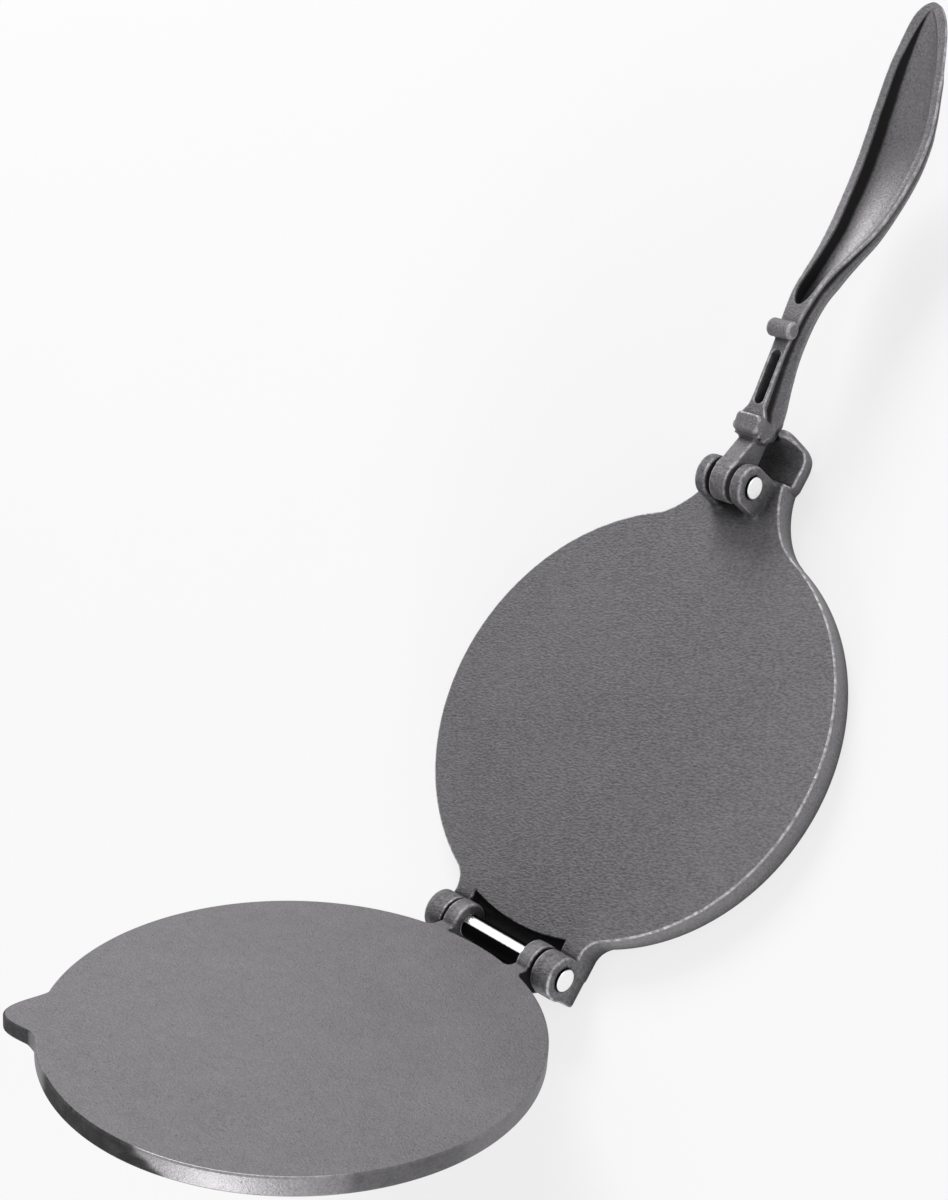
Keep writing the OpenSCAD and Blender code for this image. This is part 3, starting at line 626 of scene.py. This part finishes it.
def lid_disc():
    """Disc with a lift tab: rings (r cos a, r sin a, z) whose outer ones follow the edge, which is the lid's
    radius + the tab's reach * cos^2(90 a / spread) round the tab's middle."""
    turn = np.linspace(0, 2 * np.pi, 481)[:-1]
    place = np.degrees(turn)
    off = (place - (TAB_ANGLE + 270) + 180) % 360 - 180
    swell = np.where(np.abs(off) < TAB_SPREAD, np.cos(np.radians(90 * off / TAB_SPREAD)) ** 2, 0)
    reach = LID_R + np.maximum((TAB_OUT + 1) * swell - 1, 0)
    tab = ramp(reach - LID_R, 0.0, 3.0)
    e, top, bead = EDGE_R, LID_H, 0.8
    flat = LID_R - e - 0.6
    rows = [(0 * reach + r, 0.0) for r in np.linspace(FIRST_RING, flat, 10)]
    rows += [(flat + (0.4 + reach - LID_R) * s, 0.0) for s in (0.35, 0.7, 1.0)]
    side_from = len(rows) + 1
    rows += [(reach - e + p, e + q) for p, q in arc((0, 0), e, -90, 0, 8)]
    shelf = top - TAB_DROP * tab
    rows += [(reach, shelf * 0.5)]
    rows += [(reach - e + p, shelf - e + q) for p, q in arc((0, 0), e, 0, 90, 8)]
    side_to = len(rows)
    rows += [(LID_R - e - 0.5 * tab + (reach - LID_R) * s, shelf) for s in (0.8, 0.5, 0.2, 0.0)]
    rows += [(LID_R - e - 0.7 - 0.5 * tab, top - 0.4 * TAB_DROP * tab), (LID_R - e - 1.4 - 0.5 * tab, top)]
    rim = [(LID_RIM_IN + 1.2, top)] + arc((LID_RIM_IN + 0.6, top - bead), bead, 90, 150, 3)
    rim += [(LID_RIM_IN - 1.4, LID_WALL + 0.4), (LID_RIM_IN - 2.2, LID_WALL), (LID_RIM_IN - 4, LID_WALL)]
    rows += [(r + 0 * reach, z) for r, z in rim + [(60.0, LID_WALL), (FIRST_RING, LID_WALL)]]
    grid = [np.stack([r * np.cos(turn), r * np.sin(turn), LID_FACE_Z + z + 0 * turn], -1) for r, z in rows]
    points, faces = sheet(np.array(grid), True, True)
    # The side is smoother than the face, but not round the tab. A patch of the side is painted bright as a
    # highlight; the side is painted dark as shade between the hinge's arms and round the tab, and as dark
    # reflections beside the tab, where the dark ends aslant, and further round; the places are in degrees
    # round the disc
    row = np.arange(len(rows))[:, None]
    side = (row >= side_from) & (row < side_to)
    hidden = (np.abs(LID_R * np.cos(turn)) < KNUCKLE_OUT + 0.1) & (np.sin(turn) > 0)
    lift = np.array([np.mean(z) / top for r, z in rows])[:, None]
    painted_dark_rim = ramp(place + 8 * (lift - 0.5), 246, 251)
    # Painted highlight: a patch of the side painted brighter
    bright = ramp(place, 205, 215) * (1 - painted_dark_rim)
    ground = side * (0.1 + 0.9 * bright) * (1 - tab) * ~hidden
    # Painted dark reflections beside the tab and further round
    near_tab = 0.66 * painted_dark_rim * (1 - ramp(place, 283, 292))
    far_side = 0.42 * ramp(place, 168, 186) * (1 - ramp(place, 205, 213))
    painted_shade = side * np.maximum(np.maximum(0.6 * tab, near_tab + far_side), hidden)
    marks = {"ground": ground.ravel(), "painted_shade": painted_shade.ravel(), "dull": np.full(ground.size, 0.9)}
    return (turned_open(points), faces), marks


def lid_spine():
    """The rib on the lid's back, made upside down and turned over."""
    back, under = LID_FACE_Z + LID_H - 0.02, LID_FACE_Z + LID_WALL - 1
    points, faces = rounded_bar(13.0, -back, -under, LID_RIM_IN + 3)
    return turned_open(points * (1, 1, -1)), faces


def lid_knuckles(step=0.5):
    """Two knuckles on arms that run into the lid, with the flat on each heel that meets the base's lip."""
    low = (-38.0, 83.0, 3.0)
    X, Y, Z = places(low, (38.0, 129.0, 32.0), step)
    x = np.abs(X)
    far = HEEL_TURN - math.degrees(math.acos(HEEL_DROP / HEEL_R))
    back = LID_FACE_Z + LID_H
    heel = [(HINGE_Y - p, HINGE_Z + q) for p, q in arc((0, 0), HEEL_R, far, far - 34, 8)]
    front = [
        (HINGE_Y - 26, LID_FACE_Z + 1.5), (97.5, LID_FACE_Z + 1.5),
        (99, LID_FACE_Z), (HINGE_Y - 2, LID_FACE_Z)]
    slope = [(HINGE_Y - 20.5, back), (HINGE_Y - 25.5, LID_FACE_Z + LID_WALL - 0.6)]
    arm = outline(front + heel + slope, Y, Z)
    turn = math.radians(HEEL_TURN)
    flat = -(Y - HINGE_Y) * math.cos(turn) + (Z - HINGE_Z) * math.sin(turn) - HEEL_DROP
    arm = meet(arm, flat, 0.5)
    knuckle = bar(Y - HINGE_Y, Z - HINGE_Z, KNUCKLE_R)
    form = meet(join(arm, knuckle), slab(x, KNUCKLE_IN, KNUCKLE_OUT), 1.1)
    # The arms run out of the lid with small fillets. Of the lid only the outer skin next to them is kept
    r = np.hypot(X, Y)
    arms = np.maximum(slab(x, KNUCKLE_IN, KNUCKLE_OUT), Y - HINGE_Y)
    plan = join(r - LID_R, arms, 2.5)
    plate = meet(plan, slab(Z, LID_FACE_Z, back), EDGE_R)
    plate = carve(plate, np.maximum(r - 96.5, LID_FACE_Z + 3 - Z))
    plate = meet(plate, np.maximum(np.maximum(85.0 - Y, Y - HINGE_Y + 6), x - 36.5))
    form = join(form, sinking(plate, np.maximum(arms, 95.0 - Y), 2.5, 8.0))
    form = carve(form, bar(Y - HINGE_Y, Z - HINGE_Z, PIN_R + 0.1), 0.3)
    points, faces = skin(form, low, step)
    free = ramp(from_middle(points), LID_R + 0.3, LID_R + 1.5)
    # Painted shade: the knuckles' outer ends, next to the base's ears, are painted dark
    painted_shade = 0.75 * ramp(np.abs(points[:, 0]), KNUCKLE_OUT - 0.9, KNUCKLE_OUT - 0.2) * free
    return (turned_open(points), faces), {"painted_shade": painted_shade, "knocks": near_bar(points, HINGE_Y, HINGE_Z)}


# Handle, measured from its pin

# Each station: its share of the handle's length, the rim's height, its half width as a share of the
# grip's, the body's half width, and its depth. The third to fifth are a little fuller than in the CAD
STATIONS = np.array([
    [0.091, 5.6, 0.400, 7.2, 9.4], [0.112, 7.2, 0.420, 8.2, 17.4], [0.130, 8.2, 0.400, 9.1, 18.4],
    [0.150, 9.2, 0.260, 9.5, 18.2], [0.225, 12.4, 0.240, 8.8, 13.8], [0.277, 14.6, 0.245, 8.0, 12.6],
    [0.337, 16.8, 0.310, 8.0, 12.9], [0.389, 17.0, 0.385, 8.3, 13.5], [0.432, 15.0, 0.440, 9.3, 13.4],
    [0.484, 11.4, 0.560, 10.4, 12.3], [0.553, 7.5, 0.750, 12.2, 12.4], [0.622, 6.3, 0.880, 13.6, 12.7],
    [0.691, 6.9, 0.960, 14.8, 13.3], [0.743, 8.9, 1.000, 15.2, 13.6], [0.795, 12.7, 0.990, 14.8, 13.5],
    [0.877, 20.6, 0.870, 12.8, 12.0], [0.933, 25.9, 0.815, 10.6, 9.8], [1.000, 32.0, 0.870, 9.4, 8.0],
])
LIP, RIDGE, WAIST, TIP_START = 0.12, 0.5, 0.86, 0.86
ARM_END, HOLLOW_START, HOLLOW_END = 0.3, 0.357, 0.986  # shares of the length


def along(f, column):
    """A station column at share f of the handle's length, bent smoothly (Catmull-Rom)."""
    share, value = STATIONS[:, 0], STATIONS[:, column]
    last = len(share) - 1
    i = np.clip(np.searchsorted(share, f, "right") - 1, 0, last - 1)
    t = (f - share[i]) / (share[i + 1] - share[i])
    a, b, c, d = value[np.maximum(i - 1, 0)], value[i], value[i + 1], value[np.minimum(i + 2, last)]
    return b + 0.5 * t * (c - a + t * (2 * a - 5 * b + 4 * c - d + t * (3 * (b - c) + d - a)))


def round_in(t):
    """How a round end fills out, as a quarter circle: sqrt(s (2 - s)) for s from 0 to 1."""
    s = np.clip(t, 0, 1)
    return np.sqrt(np.maximum(0.0004, s * (2 - s)))


def quarter(count):
    """Even angles over a quarter turn."""
    return np.radians(np.linspace(0, 90, count))


def section(f):
    """Height of the rim, its half width, the body's half width and its depth at share f."""
    tip = round_in((1 - f) / (1 - TIP_START))
    return along(f, 1), GRIP_HALF * along(f, 2) * tip, along(f, 3) * tip, along(f, 4) * (1 + tip) / 2


def flank(rim, body, q):
    """Half width at share q of the depth: down the lip, in to the waist, out to the ridge, round to the
    keel."""
    narrow = WAIST * np.minimum(rim, body)
    t = np.clip((q - LIP) / (RIDGE - LIP), 0, 1)
    waist = narrow + (rim - narrow) * (1 - t) ** 3 + (body - narrow) * t**3
    belly = body * np.sqrt(np.maximum(0, 1 - ((q - RIDGE) / (1 - RIDGE)) ** 2))
    return np.where(q <= LIP, rim, np.where(q < RIDGE, waist, belly))


def handle_grip():
    """Arm and grip in one closed skin. Each ring goes from the keel up the flank, round the rim's edge,
    across the rim and down into the hollow or the slot, whose half width and depth close to nothing at
    their ends."""
    tip = TIP_START + (1 - TIP_START) * np.sin(np.radians(np.linspace(0, 90, 49)))
    stops = ((STATIONS[0, 0], 0.1525, 24), (0.1525, 0.263, 73), (0.263, 0.41, 73), (0.41, TIP_START, 150))
    f = np.concatenate([np.linspace(*stop)[:-1] for stop in stops] + [tip])
    top, rim, body, depth = section(f)
    keel = RIDGE + (1 - RIDGE) * np.cos(np.radians(np.linspace(0, 90, 15)))
    q = np.concatenate([keel, np.linspace(RIDGE, LIP, 14)[1:]])
    side = [(flank(rim, body, level), -depth * level) for level in q]
    edge = np.minimum(0.75, 0.3 * rim)
    side += [(rim, -np.maximum(LIP * depth * 0.7, edge))]
    side += [(rim - edge + edge * math.cos(a), -edge + edge * math.sin(a)) for a in quarter(7)]
    # The hollow in the grip, and the slot in the arm
    hollow = round_in((f - HOLLOW_START) / 0.04) * round_in((HOLLOW_END - f) / 0.1)
    hollow = hollow * ((f > HOLLOW_START) & (f < HOLLOW_END))
    s = f * HANDLE_LEN + 1.2 * ramp(f, 0.8, 1.0)
    slot = np.sqrt(np.clip(1 - (np.maximum(np.abs(s - SLOT_MIDDLE) - SLOT_STRAIGHT, 0) / SLOT_R) ** 2, 0, 1))
    band = np.minimum(4.1, 0.31 * rim)
    arm = f < ARM_END
    half = np.maximum(np.where(arm, SLOT_R * slot, (rim - band) * hollow), 0.2)
    deep = np.where(arm, SLOT_DEEP * (slot > 0), np.maximum((depth - 3.6) * hollow, 0))
    power = np.where(arm, 0.25, 0.7)
    inner = np.minimum(0.6, np.minimum(0.3 * deep, 0.5 * np.maximum(rim - edge - half, 0)))
    across_from = len(side)
    for share in (0.33, 0.67):
        side += [(rim - edge - share * (rim - edge - half - inner), 0 * f)]
    side += [(half + inner - inner * math.sin(a), -inner + inner * math.cos(a)) for a in quarter(6)]
    for a in quarter(17)[1:]:
        side += [(half * math.cos(a), -inner - np.maximum(deep - inner, 0) * math.sin(a) ** power)]
    side = [(x + 0 * f, z + 0 * f) for x, z in side]
    ring = side + [(-x, z) for x, z in side[-2:0:-1]]
    grid = np.stack([np.stack([x, -s, top + z], -1) for x, z in ring], 1)
    # Which of a ring's points lie in the hollow, and which round its mouth; both halves of a ring count alike
    number = np.arange(len(ring))
    number = np.minimum(number, len(ring) - number)
    inside = number > across_from
    mouth = (number >= across_from) & (number <= across_from + 8)
    # Painted shade darkens one steep wall of the hollow and the groove under the rim, and the floor is
    # painted lighter as a stand-in for light. turn goes from 0 degrees at that wall to 180 at the other
    top, depth, half, open_here = top[:, None], depth[:, None], half[:, None], hollow[:, None] > 0
    turn = np.degrees(np.arccos(np.clip(grid[..., 0] / half, -1, 1)))
    below = top - grid[..., 2]
    painted_shade = inside * ramp(below, 0.3, 1.6) * (1 - ramp(turn, 20, 50)) * open_here
    length_lit = (ramp(f, 0.38, 0.46) * (1 - 0.7 * ramp(f, 0.56, 0.78)))[:, None]
    bare_and_lit = inside * ramp(turn, 32, 62) * (1 - 0.55 * ramp(turn, 80, 150)) * length_lit * open_here
    share = below / depth
    groove = ramp(share, LIP * 0.8, 0.2) * (1 - ramp(share, 0.3, 0.46)) * (1 - ramp(f, 0.5, 0.66))[:, None]
    painted_shade = np.maximum(painted_shade, 0.68 * groove * ~inside)
    dull = 0.85 * mouth * ramp(f, ARM_END, 0.36)[:, None]
    marks = {"painted_shade": painted_shade.ravel(), "ground": 0.85 * bare_and_lit.ravel(), "dull": dull.ravel()}
    return sheet(grid + (FRONT_X, PIVOT_Y, PIVOT_Z), True, True), marks


def handle_root(step=0.42):
    """Hub, web, presser block and crossbar, with fillets to each other and to a thin copy of the arm that
    lies just inside the arm's own surface."""
    low = (-12.0, -78.0, -12.0)
    X, Y, Z = places(low, (12.0, 12.0, 26.0), step)
    x = np.abs(X)
    hub = meet(bar(Y, Z, CLEVIS_R), x - HUB_HALF, 0.9)
    web = outline([(-3.2, 9.2), (-27.7, 1.6), (-27.7, -6.5), (-21.5, -6.5), (-4, -8.9), (0, 0)], Y, Z)
    form = join(hub, meet(web, x - HUB_HALF, 0.9), 1.5)
    top, rim, body, depth = section(np.clip(-Y / HANDLE_LEN, STATIONS[0, 0], 0.33))
    q = (top - Z) / depth
    upper = x - flank(rim, body, np.clip(q, 0, RIDGE))
    size = np.minimum(body, depth / 2)
    lower = (np.hypot(x / body, (q - RIDGE) / (1 - RIDGE)) - 1) * size
    arm = meet(np.where(q < RIDGE, upper, lower), Z - top, 0.7)
    arm = meet(arm, slab(Y, -76.5, -STATIONS[0, 0] * HANDLE_LEN - 0.3), 3.0) + 0.2
    slot = np.hypot(x, np.maximum(np.abs(Y + SLOT_MIDDLE) - SLOT_STRAIGHT, 0)) - SLOT_R
    arm = carve(arm, np.maximum(slot, top - SLOT_DEEP - Z) - 0.4, 0.3)
    block_at, block_half, corner = 25.8, 1.9, 2.4
    low_at, low_end, tilt = 21.5, 8.6, math.radians(18)
    along_block = np.maximum(np.abs(Y + block_at) - block_half, 0)
    block = meet(np.hypot(np.maximum(x - HUB_HALF, 0), along_block) - corner, -Z)
    block = meet(block, (Z - low_end + (Y + low_at) * math.tan(tilt)) * math.cos(tilt), 1.6)
    form = join(form, arm, 2.2)
    form = join(form, block, 1.8)
    cross_at, cross_z, cross_r, cross_half = 69.5, 18.2, 4.2, 6.6
    cross = meet(bar(Y + cross_at, Z - cross_z, cross_r), x - cross_half, 1.6)
    form = join(form, cross, 1.6)
    form = carve(form, bar(Y, Z, PIN_R + 0.1), 0.3)
    points, faces = skin(form, low, step)
    return (points + (FRONT_X, PIVOT_Y, PIVOT_Z), faces), {"knocks": 0.8 * near_bar(points, 0, 0)}


# Stage


def add_floor():
    """A round floor: rings (r cos a, r sin a, 0), closed in the middle."""
    turn = np.linspace(0, 2 * np.pi, 97)[:-1]
    ring = np.stack([np.cos(turn), np.sin(turn), 0 * turn], -1)
    points, faces = sheet(ring * np.array([4000.0, 1500.0, 400.0, 1.0])[:, None, None], cap_last=True)
    mesh = bpy.data.meshes.new("floor")
    mesh.from_pydata((points * MM).tolist(), [], faces)
    mesh.materials.append(pale_floor("paper"))
    floor = bpy.data.objects.new("floor", mesh)
    bpy.context.scene.collection.objects.link(floor)


def add_camera():
    """The photograph's own camera, worked out from the object's measured points."""
    right = Vector((-0.6957, -0.4710, -0.5424))
    down = Vector((-0.2902, 0.8749, -0.3875))
    ahead = Vector((0.6571, -0.1122, -0.7454))
    place = Vector((-509.7, 84.5, 692.7))
    focal, across, up = 1886.8, 504.1, 625.9  # in the picture's pixels
    width, height = 948, 1200
    data = bpy.data.cameras.new("camera")
    data.sensor_width = 36.0
    data.lens = focal * data.sensor_width / height
    data.shift_x = (width / 2 - across) / height
    data.shift_y = (up - height / 2) / height
    data.clip_start, data.clip_end = 0.01, 50.0
    camera = bpy.data.objects.new("camera", data)
    bpy.context.scene.collection.objects.link(camera)
    turn = Matrix((right, -down, -ahead)).transposed().to_4x4()
    camera.matrix_world = Matrix.Translation(place * MM) @ turn
    bpy.context.scene.camera = camera


def add_lamp(name, place, aim, size, watts):
    """A soft round lamp at a place, turned to what it lights; both in metres."""
    data = bpy.data.lights.new(name, "AREA")
    data.shape, data.size, data.energy = "DISK", size, watts
    lamp = bpy.data.objects.new(name, data)
    bpy.context.scene.collection.objects.link(lamp)
    lamp.location = place
    lamp.rotation_mode = "QUATERNION"
    lamp.rotation_quaternion = (Vector(aim) - Vector(place)).to_track_quat("-Z", "Y")


def add_world(strength):
    """Even studio light, and plain white where the camera or the metal sees past the floor."""
    b = Bench(bpy.data.worlds.new("studio"))
    soft = b.node("Background", {}, {"Color": WHITE, "Strength": strength})
    white = b.node("Background", {}, {"Color": WHITE, "Strength": 1.0})
    bpy.context.scene.world = b.finish(b.node("MixShader", {}, {0: b.seen(), 1: soft, 2: white}), "World")


# The scene

IRON = cast_iron(
    "disc_iron", dark=0.1, pale=0.215, wear=0.8, grain=1.7, shade_strength=0.85, lit_bare_tone=1.5, stretch=1.8, gap=True)
LID_IRON = cast_iron("lid_disc_iron", dark=0.118, pale=0.233, wear=0.75, grain=1.0, shade_strength=0.85, lit_bare_tone=1.5)
HANDLE_IRON = cast_iron("grip_iron", dark=0.115, pale=0.245, wear=0.55, grain=1.5, shade_strength=0.5, lit_bare_tone=2.2)
STEEL = {
    "hinge_pin": bright_steel("hinge_pin_bar", EAR_OUT, 0.0, painted_dark_between=True),
    "handle_pin": bright_steel("handle_pin_bar", CLEVIS_OUT, FRONT_X),
}
for node, material in STEEL.items():
    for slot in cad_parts[node].material_slots:
        slot.material = material

RIBS = [rounded_bar(3.0, 0.0, SOFFIT_Z + 1, SKIRT_R + 1, along_y) for along_y in (True, False)]
DISC, DISC_BARE_AND_LIT = base_disc()
add_piece("base_disc", [DISC] + RIBS, "base", "base_iron", IRON, "base_plate", ground=DISC_BARE_AND_LIT)
for name, (part, marks) in (("base_neck", base_front()), ("base_hinge", base_hinge())):
    add_piece(name, [part], "base", "base_iron", IRON, "base_plate", **marks)
LID, LID_MARKS = lid_disc()
add_piece("lid_disc", [LID, lid_spine()], "lid", "lid_iron", LID_IRON, "lid_plate", **LID_MARKS)
KNUCKLES, KNUCKLE_MARKS = lid_knuckles()
add_piece("lid_knuckles", [KNUCKLES], "lid", "lid_iron", LID_IRON, "lid_plate", **KNUCKLE_MARKS)
for name, (part, marks) in (("handle_grip", handle_grip()), ("handle_root", handle_root())):
    add_piece(name, [part], "handle", "handle_iron", HANDLE_IRON, "handle", **marks)

add_floor()
add_camera()
add_world(0.4)
add_lamp("key", (1.5, -2.2, 1.7), (0.0, 0.0, 0.05), 1.5, 62.0)
add_lamp("back", (-0.45, 1.75, 0.6), (0.0, 0.15, 0.1), 0.7, 15.5)
add_lamp("fill", (-1.9, -0.9, 0.45), (0.0, 0.0, 0.03), 1.2, 9.0)

bpy.context.scene.view_settings.view_transform = "Standard"
